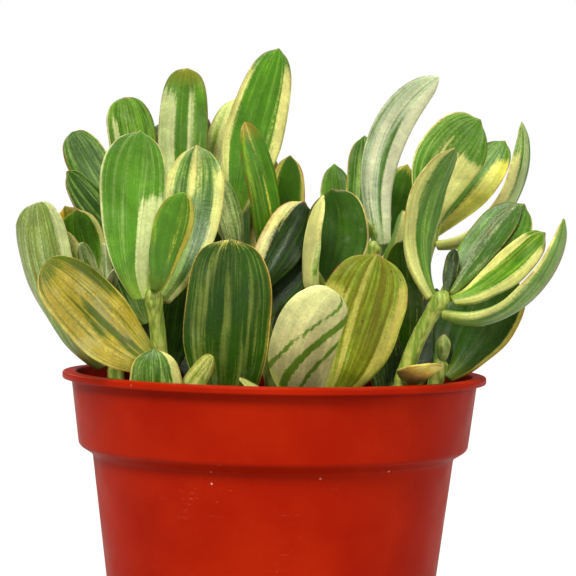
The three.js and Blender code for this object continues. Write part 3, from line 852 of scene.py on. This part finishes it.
stemShape = {
    "rings": 90,
    "sides": 28,
    "belowSoil": 3.0 * mm,
    "scarSpacing": 6.5 * mm,
    "scarHeight": 0.10 * mm,
    "jointSwelling": 0.10,  # share of the radius, where a leaf sits
    "jointReach": 1.6 * mm,
    "flutes": 0.03,  # share of the radius
}
stemSkin = {
    "streakStretch": (900.0, 900.0, 90.0), "blotches": (220.0, 4.0, 0.6), "pores": (1800.0, 3.0),
    "green": ((112, 142, 40), (180, 190, 88)), "greenCut": (0.40, 0.62),  # darkest, lightest
    "bark": ((62, 50, 34), (122, 112, 88)), "barkCut": (0.38, 0.62),
    "barkHeight": (-0.02, 0.24), "barkRagged": 0.7,  # shares of the stem
    "scar": 0.28, "scarColour": (120, 96, 50),
    "gloss": (0.42, 0.62), "inside": 0.06, "insideReach": 1.0 * mm,
    "ribs": 0.08 * mm, "pits": 0.08 * mm,
}


def stemSurface(stem, seed):
    # a circle of the stem's own radius carried along its axis, with a ridge every scarSpacing,
    # a swelling exp(-x^2) at each leaf, shallow flutes, and a rounded top
    shape = stemShape
    draw = np.random.default_rng(seed)
    start = -shape["belowSoil"] / stem["length"]
    s = np.linspace(start, 0.995, shape["rings"])[:, None]
    angle = (np.arange(shape["sides"]) * 2 * np.pi / shape["sides"])[None, :]
    line = along(stem["axis"], s[:, 0])
    tangent = unit(np.gradient(line, s[:, 0], axis=0))
    side = unit(np.cross(tangent, [0.0, 1.0, 0.2]))
    other = np.cross(tangent, side)
    height = s * stem["length"]
    scars = np.exp(-((((height / shape["scarSpacing"] + draw.random()) % 1.0) - 0.5) / 0.06) ** 2)
    flutes = shape["flutes"] * np.sin(3 * angle + 5 * s + 6 * draw.random())
    radius = np.polyval(stem["radius"], s) * (1 + flutes)
    radius = radius + shape["scarHeight"] * scars * (0.6 + 0.4 * np.sin(angle + 4 * draw.random()))
    for joint in stem["joints"]:
        away = (s - joint) * stem["length"] / shape["jointReach"]
        radius = radius * (1 + shape["jointSwelling"] * np.exp(-away ** 2))
    radius = radius * np.sqrt(np.clip((1.0 - s) / 0.05, 0.02, 1.0))
    surface = (line[:, None] + (radius * np.cos(angle))[..., None] * side[:, None]
               + (radius * np.sin(angle))[..., None] * other[:, None])
    points = np.vstack([surface.reshape(-1, 3), line[0], along(stem["axis"], np.array([1.0]))[0]])
    grown = np.stack([s + 0 * angle, scars + 0 * angle, 0 * s + 0 * angle + seed * 0.37], -1).reshape(-1, 3)
    grown = np.vstack([grown, grown[0], grown[-1]])
    return points, closedTube(shape["rings"], shape["sides"]), {"grown": grown}


def makeStemFinish(skin):
    # brown and corky at the soil, green with lengthwise pale streaks above
    f = Finish("stem skin")
    place, grown = f.place(), f.field("grown")
    streaks = f.noise(f.stretch(place, skin["streakStretch"]), 1.0, 4.0, 0.6)
    blotch = f.noise(place, *skin["blotches"])
    green, bark = [f.blend(f.between(streaks, skin[key + "Cut"]), linear(skin[key][0]), linear(skin[key][1]))
                   for key in ("green", "bark")]
    height = f.sum(f.part(grown, 0), f.centred(blotch, skin["barkRagged"]))
    colour = f.blend(f.between(height, skin["barkHeight"]), bark, green)
    colour = f.tint(f.times(f.part(grown, 1), skin["scar"]), colour, skin["scarColour"])
    f.set(Base_Color=colour, Roughness=f.spread(blotch, skin["gloss"]), Subsurface_Weight=skin["inside"],
          Subsurface_Scale=skin["insideReach"], Subsurface_Radius=sapColour)
    ribs = f.bump(streaks, skin["ribs"])
    f.set(Normal=f.bump(f.noise(place, *skin["pores"]), skin["pits"], ribs))
    return f.material


stemFinish = makeStemFinish(stemSkin)
for seed, name in enumerate(stemNames):
    points, faces, fields = stemSurface(stems[name], seed)
    addPiece("living_" + name, putMesh(name + "_skin", points, faces, fields), stemFinish, "stem", name)
print("stems made:", len(stemNames))


soilShape = {
    "rings": 70,
    "sides": 180,
    "unevenness": 0.9 * mm,
    "crumbs": 2600,
    "crumbSize": (0.5 * mm, 1.7 * mm),
    "perliteShare": 0.07,
    "waves": 26,
    "wavePitch": (250, 2200),  # radians in a metre
}
soilMix = {
    "fine": (1400.0, 5.0, 0.7),  # spots to a metre, detail, roughness
    "peat": ((20, 15, 10), (62, 46, 30)), "bark": ((34, 24, 15), (108, 78, 48)),  # darkest, lightest
    "perlite": (214, 208, 192),
    "roughness": (0.82, 0.98), "depth": 0.4 * mm,
}


def crumbForm():
    # an icosahedron: twelve corners at (0, 1, golden ratio) and its turns, twenty faces
    g = (1 + 5 ** 0.5) / 2
    corners = np.array([(-1, g, 0), (1, g, 0), (-1, -g, 0), (1, -g, 0), (0, -1, g), (0, 1, g),
                        (0, -1, -g), (0, 1, -g), (g, 0, -1), (g, 0, 1), (-g, 0, -1), (-g, 0, 1)], float)
    faces = np.array([(0, 11, 5), (0, 5, 1), (0, 1, 7), (0, 7, 10), (0, 10, 11), (1, 5, 9), (5, 11, 4),
                      (11, 10, 2), (10, 7, 6), (7, 1, 8), (3, 9, 4), (3, 4, 2), (3, 2, 6), (3, 6, 8),
                      (3, 8, 9), (4, 9, 5), (2, 4, 11), (6, 2, 10), (8, 6, 7), (9, 8, 1)])
    return unit(corners), faces


def soilSurface():
    # a plug as wide as the CAD soil: its wall read from the node's own corners, its top a disc
    # raised by a sum of waves, and crumbs scattered over it
    shape = soilShape
    draw = np.random.default_rng(7)
    co, _ = mergedNode("soil")
    reach = np.hypot(co[:, 0], co[:, 1])
    levels = np.unique(np.round(co[reach > 0.02, 2], 5))
    wall = np.array([(reach[np.abs(co[:, 2] - z) < 2e-5].max(), z) for z in levels])
    angle = (np.arange(shape["sides"]) * 2 * np.pi / shape["sides"])[None, :]
    topRadius = wall[-1, 0]
    shares = np.linspace(1, 0, shape["rings"] + 1)[:-1][1:]
    radii = np.concatenate([wall[:, 0], topRadius * shares])
    heights = np.concatenate([wall[:, 1], np.full(len(shares), soilLevel)])
    x, y = radii[:, None] * np.cos(angle), radii[:, None] * np.sin(angle)
    z = heights[:, None] + 0 * x
    uneven = np.zeros_like(x)
    for _ in range(shape["waves"]):
        pitch = draw.uniform(*shape["wavePitch"])
        turn = draw.uniform(0, 2 * np.pi)
        uneven += np.sin(pitch * (x * np.cos(turn) + y * np.sin(turn)) + draw.uniform(0, 6.28))
    uneven = uneven / shape["waves"] ** 0.5
    onTop = (np.arange(len(radii)) >= len(wall))[:, None]
    z = z + onTop * (shape["unevenness"] * 0.7 * uneven - 0.3 * mm)
    points = np.stack([x, y, z], -1).reshape(-1, 3)
    points = np.vstack([points, [0, 0, wall[0, 1]], [0, 0, soilLevel]])
    faces = closedTube(len(radii), shape["sides"])
    if signedVolume(points, faces) < 0:
        faces = [face[:, ::-1] for face in faces]

    form, formFaces = crumbForm()
    count = shape["crumbs"]
    low, high = shape["crumbSize"]
    size = low + (high - low) * draw.random(count) ** 3.0
    spread = (topRadius - 1.2 * mm) * np.sqrt(draw.random(count))
    turn = draw.uniform(0, 2 * np.pi, count)
    centre = np.stack([spread * np.cos(turn), spread * np.sin(turn),
                       soilLevel + size * 0.25 - 0.1 * mm + 0 * turn], -1)
    stretch = draw.uniform(0.6, 1.25, (count, 1, 3)) * size[:, None, None]
    jitter = 1 + 0.22 * draw.standard_normal((count, 12, 1))
    roll = draw.uniform(0, 2 * np.pi, count)
    lean = draw.uniform(-0.8, 0.8, count)
    shapeCorners = form[None] * stretch * np.clip(jitter, 0.6, 1.5)
    cr, sr, cl, sl = [wave(a)[:, None] for a in (roll, lean) for wave in (np.cos, np.sin)]
    px, py, pz = shapeCorners[..., 0], shapeCorners[..., 1], shapeCorners[..., 2]
    tilted = np.stack([px * cl + pz * sl, py, pz * cl - px * sl], -1)
    turned = np.stack([tilted[..., 0] * cr - tilted[..., 1] * sr, tilted[..., 0] * sr + tilted[..., 1] * cr,
                       tilted[..., 2]], -1)
    crumbs = (turned + centre[:, None]).reshape(-1, 3)
    crumbFaces = (formFaces[None] + 12 * np.arange(count)[:, None, None]).reshape(-1, 3) + len(points)
    perlite = (draw.random(count) < shape["perliteShare"]).astype(float)
    kind = np.repeat(np.stack([perlite, draw.random(count), np.ones(count)], -1), 12, 0)
    base = np.tile([0.0, 0.35, 0.0], (len(points), 1))
    return np.vstack([points, crumbs]), faces + [crumbFaces], {"grain": np.vstack([base, kind])}


def makeSoilFinish(mix):
    # dark peat, brown bark crumbs of many shades, and white perlite
    f = Finish("potting mix")
    grain = f.field("grain")
    fine = f.noise(f.place(), *mix["fine"])
    peat = f.blend(f.between(fine, (0.35, 0.65)), *map(linear, mix["peat"]))
    bark = f.blend(f.part(grain, 1), *map(linear, mix["bark"]))
    crumb = f.blend(f.between(fine, (0.35, 0.7)), bark, peat)
    colour = f.blend(f.part(grain, 2), peat, crumb)
    colour = f.tint(f.part(grain, 0), colour, mix["perlite"])
    f.set(Base_Color=colour, Roughness=f.spread(fine, mix["roughness"]), Normal=f.bump(fine, mix["depth"]))
    return f.material


points, faces, fields = soilSurface()
soilMesh = putMesh("soil_surface", points, faces, fields, flat=True)
addPiece("potting_soil", soilMesh, makeSoilFinish(soilMix), "soil", "soil")
print("soil made")


potShape = {  # millimetres
    "sides": 288,
    "lipOverhang": 2.3,
    "lipHeight": 1.8,
    "collarHeight": 18.5,
    "collarTaper": 2.1,
    "stepHeight": 2.2,
    "stepDepth": 3.5,
    "footRadius": 37.5,
    "wall": 1.2,
    "floor": 1.6,
    "drainRadius": 3.5,
    "drainCircle": 24.0,
    "drainCount": 6,
    "drainSides": 32,
    "drainSpan": (-2.0, 4.0),  # the heights that a drain hole's cutter reaches
}
potPlastic = {
    "clouds": (38.0, 4.0, 0.55), "grains": (2200.0, 3.0, 0.6), "glossSpots": (120.0, 4.0),
    "scuffStretch": (260.0, 260.0, 1300.0), "waveStretch": (60.0, 60.0, 200.0), "specks": 160.0,
    "colour": ((158, 24, 2), (174, 34, 5)),  # darkest, lightest
    "scuffs": 0.55, "scuffCut": (0.64, 0.74), "scuffPatch": (0.52, 0.70), "scuffColour": (206, 118, 92),
    "speckCut": (0.035, 0.06), "speckPatch": (0.55, 0.66), "speckColour": (226, 172, 150),
    "gloss": (0.30, 0.44), "shine": 0.04,
    "inside": 0.04, "insideReach": 0.8 * mm, "insideColour": (1.0, 0.25, 0.1),
    "waves": 0.15 * mm, "grain": 0.03 * mm,
}


def rounded(corners, radii, steps=7):
    # each corner of a line is swapped for a quadratic curve that starts and ends its radius away
    corners = np.array(corners, float)
    line = [corners[0]]
    for k in range(1, len(corners) - 1):
        before, here, after = corners[k - 1], corners[k], corners[k + 1]
        reach = min(radii[k], 0.45 * np.linalg.norm(before - here), 0.45 * np.linalg.norm(after - here))
        if reach < 1e-6:
            line.append(here)
            continue
        a, b = here + unit(before - here) * reach, here + unit(after - here) * reach
        t = np.linspace(0, 1, steps)[:, None]
        line.extend((1 - t) ** 2 * a + 2 * t * (1 - t) * here + t ** 2 * b)
    line.append(corners[-1])
    return np.array(line)


def filled(line, step):
    # more points along the long straight stretches of a line
    parts = []
    for a, b in zip(line[:-1], line[1:]):
        count = max(1, int(np.linalg.norm(b - a) / step))
        parts.append(a + (b - a) * np.arange(count)[:, None] / count)
    return np.vstack(parts + [line[-1:]])


def potProfile():
    # [radius, height] from the middle of the foot, up the outside, over the lip and down inside
    p = potShape
    top, mouth = potHeight / mm, mouthRadius / mm
    collarTop = mouth - p["lipOverhang"]
    collarFoot = collarTop - p["collarTaper"]
    level = top - p["collarHeight"]
    inner, foot = p["wall"], p["footRadius"]
    corners = [
        (0, 0, 0), (foot - 1.5, 0, 0), (foot, 1.5, 1.4),
        (collarFoot - p["stepDepth"], level - p["stepHeight"], 1.0), (collarFoot, level, 0.9),
        (collarTop, top - p["lipHeight"], 0.35), (mouth, top - p["lipHeight"], 0.5), (mouth, top, 0.7),
        (collarTop - inner, top, 0.45), (collarFoot - inner, level + 0.2, 0.8),
        (collarFoot - p["stepDepth"] - inner, level - p["stepHeight"] - 0.2, 0.8),
        (foot - inner, p["floor"], 1.2), (0, p["floor"], 0),
    ]
    line = rounded([c[:2] for c in corners], [c[2] for c in corners])
    return filled(line, 3.0) * mm


def makePot():
    # the profile turned about +Z, then six drain holes cut from the floor
    p = potShape
    line = potProfile()
    angle = (np.arange(p["sides"]) * 2 * np.pi / p["sides"])[None, :]
    middle = line[1:-1]
    ring = middle[:, :1]
    surface = np.stack([ring * np.cos(angle), ring * np.sin(angle), middle[:, 1:] + 0 * angle], -1)
    points = np.vstack([surface.reshape(-1, 3), [0, 0, line[0, 1]], [0, 0, line[-1, 1]]])
    pot = linked("cutting", putMesh("pot_shell", points, closedTube(len(middle), p["sides"])))
    sides = p["drainSides"]
    around = np.arange(sides) * 2 * np.pi / sides
    circle = p["drainRadius"] * mm * np.stack([np.cos(around), np.sin(around)], -1)
    bores = []
    for a in np.arange(p["drainCount"]) * 2 * np.pi / p["drainCount"]:
        centre = p["drainCircle"] * mm * np.array([[math.cos(a), math.sin(a)]])
        low, high = [np.column_stack([circle + centre, np.full(sides, z * mm)]) for z in p["drainSpan"]]
        ends = [np.append(centre, z * mm) for z in p["drainSpan"]]
        bores.append((np.vstack([low, high, ends]), closedTube(2, sides), {}))
    cutter = linked("bores", putMesh("bores", *joined(bores)))
    cut = pot.modifiers.new("drain", "BOOLEAN")
    cut.object = cutter
    cut.operation = "DIFFERENCE"
    cut.solver = "EXACT"
    whole = bpy.data.meshes.new_from_object(pot.evaluated_get(bpy.context.evaluated_depsgraph_get()))
    bpy.data.objects.remove(pot)
    bpy.data.objects.remove(cutter)
    whole.name = "pot_shell_cut"
    whole.materials.clear()
    return whole


def makePotFinish(plastic):
    # orange-red moulded plastic: faint clouding, a fine grain, pale scuffs and a few specks
    f = Finish("terracotta red plastic")
    place = f.place()
    clouds = f.between(f.noise(place, *plastic["clouds"]), (0.3, 0.7))
    colour = f.blend(clouds, *map(linear, plastic["colour"]))
    scratches = f.noise(f.stretch(place, plastic["scuffStretch"]), 1.0, 4.0, 0.7)
    scratches = f.between(scratches, plastic["scuffCut"])
    where = f.between(f.noise(place, 30.0, 2.0), plastic["scuffPatch"])
    colour = f.tint(f.times(f.times(scratches, where), plastic["scuffs"]), colour, plastic["scuffColour"])
    specks = f.between(f.cells(place, plastic["specks"]), plastic["speckCut"], (1.0, 0.0))
    few = f.between(f.noise(place, 60.0, 2.0), plastic["speckPatch"])
    colour = f.tint(f.times(specks, few), colour, plastic["speckColour"])
    f.set(Base_Color=colour, Roughness=f.spread(f.noise(place, *plastic["glossSpots"]), plastic["gloss"]),
          Specular_IOR_Level=plastic["shine"], Subsurface_Weight=plastic["inside"],
          Subsurface_Scale=plastic["insideReach"], Subsurface_Radius=plastic["insideColour"])
    waves = f.bump(f.noise(f.stretch(place, plastic["waveStretch"]), 1.0, 2.0), plastic["waves"])
    f.set(Normal=f.bump(f.noise(place, *plastic["grains"]), plastic["grain"], waves))
    return f.material


potMesh = makePot()
potMesh.shade_smooth()
potPiece = addPiece("nursery_pot", potMesh, makePotFinish(potPlastic), "pot", "pot")
crisp = potPiece.modifiers.new("crisp", "WEIGHTED_NORMAL")
crisp.keep_sharp = True
print("pot made:", len(potMesh.polygons), "faces")


studio = {
    "floorSize": 6.0,
    "floorColour": (0.36, 0.36, 0.36, 1.0),
    "floorGlow": 0.54,  # keeps the far floor as pale as the near floor
    "warmth": (1.0, 0.985, 0.90),
    "floorBounce": 0.15,  # what that glow sends up onto the plant
    "sky": 0.20,
    "skySeen": 1.0,  # how bright the sky is behind the plant
    "floorRoughness": (0.85, 0.95),
    "lights": {
        # where it stands, the angle it fills in degrees, its strength
        "key": ((-0.50, -1.0, 1.14), 24.0, 3.2),
        "fill": ((1.0, -0.8, 0.64), 38.0, 1.15),
        "back": ((-0.5, 1.0, 0.8), 40.0, 0.55),
        "top": ((0.1, 0.35, 1.29), 36.0, 1.30),
    },
}


def makeStudio(setup):
    # a square floor, a plain sky and four suns, each turned so that its own +Z points to its place
    reach = setup["floorSize"] / 2
    corners = [(-reach, -reach, 0), (reach, -reach, 0), (reach, reach, 0), (-reach, reach, 0)]
    mesh = bpy.data.meshes.new("floor")
    mesh.from_pydata(corners, [], [(0, 1, 2, 3)])
    f = Finish("pale floor")
    wear = f.noise(f.place(), 3.0, 3.0)
    f.set(Base_Color=setup["floorColour"], Roughness=f.between(wear, (0.3, 0.7), setup["floorRoughness"]),
          Specular_IOR_Level=0.0, Emission_Color=(1.0, 1.0, 1.0, 1.0))
    seen = f.node("ShaderNodeLightPath", "Is Camera Ray", {})
    glow = f.between(seen, (0.0, 1.0), (setup["floorBounce"], setup["floorGlow"]), "LINEAR")
    f.set(Emission_Strength=glow)
    mesh.materials.append(f.material)
    linked("floor", mesh)
    world = bpy.data.worlds.new("studio")
    bpy.context.scene.world = world
    world.use_nodes = True
    tree = world.node_tree
    sky = tree.nodes["Background"]
    sky.inputs["Color"].default_value = (1.0, 1.0, 1.0, 1.0)
    seen = tree.nodes.new("ShaderNodeLightPath").outputs["Is Camera Ray"]
    strength = tree.nodes.new("ShaderNodeMapRange")
    strength.inputs["To Min"].default_value = setup["sky"]
    strength.inputs["To Max"].default_value = setup["skySeen"]
    tree.links.new(seen, strength.inputs["Value"])
    tree.links.new(strength.outputs["Result"], sky.inputs["Strength"])
    for name, (place, angle, strength) in setup["lights"].items():
        data = bpy.data.lights.new(name, "SUN")
        data.angle = math.radians(angle)
        data.energy = strength
        data.color = setup["warmth"]
        lamp = linked(name, data)
        away = unit(np.array(place))
        side = unit(np.cross([0.0, 0.0, 1.0], away))
        turn = Matrix(np.column_stack([side, np.cross(away, side), away]).tolist()).to_4x4()
        lamp.matrix_world = Matrix.Translation(place) @ turn


makeStudio(studio)
print("studio lit")
